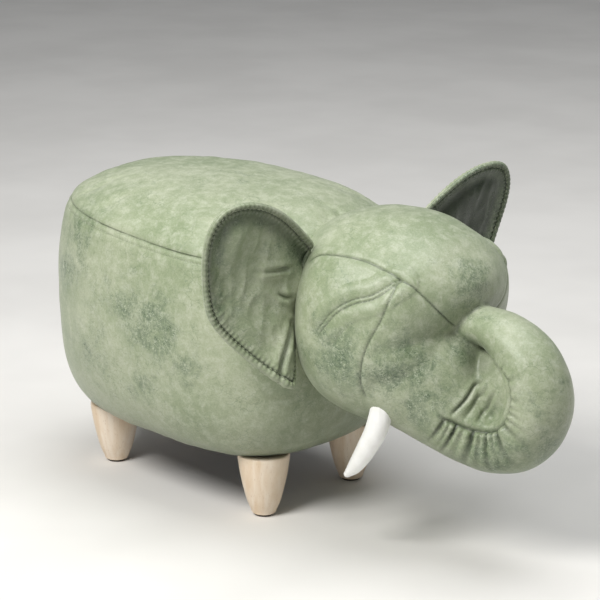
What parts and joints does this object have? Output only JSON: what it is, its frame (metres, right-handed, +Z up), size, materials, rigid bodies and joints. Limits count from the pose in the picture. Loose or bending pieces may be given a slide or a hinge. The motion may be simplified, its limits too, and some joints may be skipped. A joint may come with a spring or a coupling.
{
  "type": "footstool",
  "caption": "Elephant-shaped upholstered footstool: padded oval seat on turned wooden legs, stuffed head with curled trunk, tusks and padded ears, hanging tail.",
  "frame": {"origin": "on the floor, under the middle of the whole object's bounding box", "axes": "+X towards the trunk, +Y the elephant's left side, +Z up"},
  "size_m": [0.728, 0.4536, 0.3978],
  "materials": {
    "leatherette": "distressed green nubuck-look leatherette",
    "satin": "smooth white satin-backed fabric",
    "beech": "turned pale beech, clear matt lacquer",
    "plywood": "raw plywood and sawn softwood",
    "foam": "cream upholstery foam",
    "fibre": "white polyester fibre",
    "steel": "zinc-plated steel",
    "felt": "dark pressed felt",
    "nonwoven": "black non-woven cloth"
  },
  "bodies": {
    "stool": {"base_board": "plywood", "body_cover": "leatherette", "dust_cover": "nonwoven", "head_board": "plywood", "head_cover": "leatherette", "head_filling": "fibre", "leg_bolt_front_left": "steel", "leg_bolt_front_right": "steel", "leg_bolt_rear_left": "steel", "leg_bolt_rear_right": "steel", "leg_front_left": "beech", "leg_front_right": "beech", "leg_rear_left": "beech", "leg_rear_right": "beech", "leg_glide_front_left": "felt", "leg_glide_front_right": "felt", "leg_glide_rear_left": "felt", "leg_glide_rear_right": "felt", "leg_nut_front_left": "steel", "leg_nut_front_right": "steel", "leg_nut_rear_left": "steel", "leg_nut_rear_right": "steel", "post_front_left": "plywood", "post_front_right": "plywood", "post_rear_left": "plywood", "post_rear_right": "plywood", "seat_board": "plywood", "seat_cover": "leatherette", "seat_foam": "foam", "side_foam": "foam", "tusk_filling_left": "fibre", "tusk_filling_right": "fibre", "tusk_left": "satin", "tusk_right": "satin"},
    "right_ear": {"ear_right": "leatherette", "ear_padding_right": "fibre"},
    "left_ear": {"ear_left": "leatherette", "ear_padding_left": "fibre"},
    "tail": {"tail_cord": "leatherette", "tail_tuft": "leatherette"}
  },
  "joints": [
    {"name": "right_ear_flap", "type": "hinge", "parent": "stool", "child": "right_ear", "pos_m": [0.079, -0.107, 0.21], "axis": [0.0478, 0.0876, 0.995], "range_deg": [-25, 25], "stiffness_Nm_per_rad": 0.6},
    {"name": "left_ear_flap", "type": "hinge", "parent": "stool", "child": "left_ear", "pos_m": [0.079, 0.107, 0.2], "axis": [-0.0478, 0.0876, -0.995], "range_deg": [-40, 12], "stiffness_Nm_per_rad": 0.6},
    {"name": "tail_swing", "type": "hinge", "parent": "stool", "child": "tail", "pos_m": [-0.3335, 0, 0.2865], "axis": [0, 1, 0], "range_deg": [0, 60]}
  ]
}
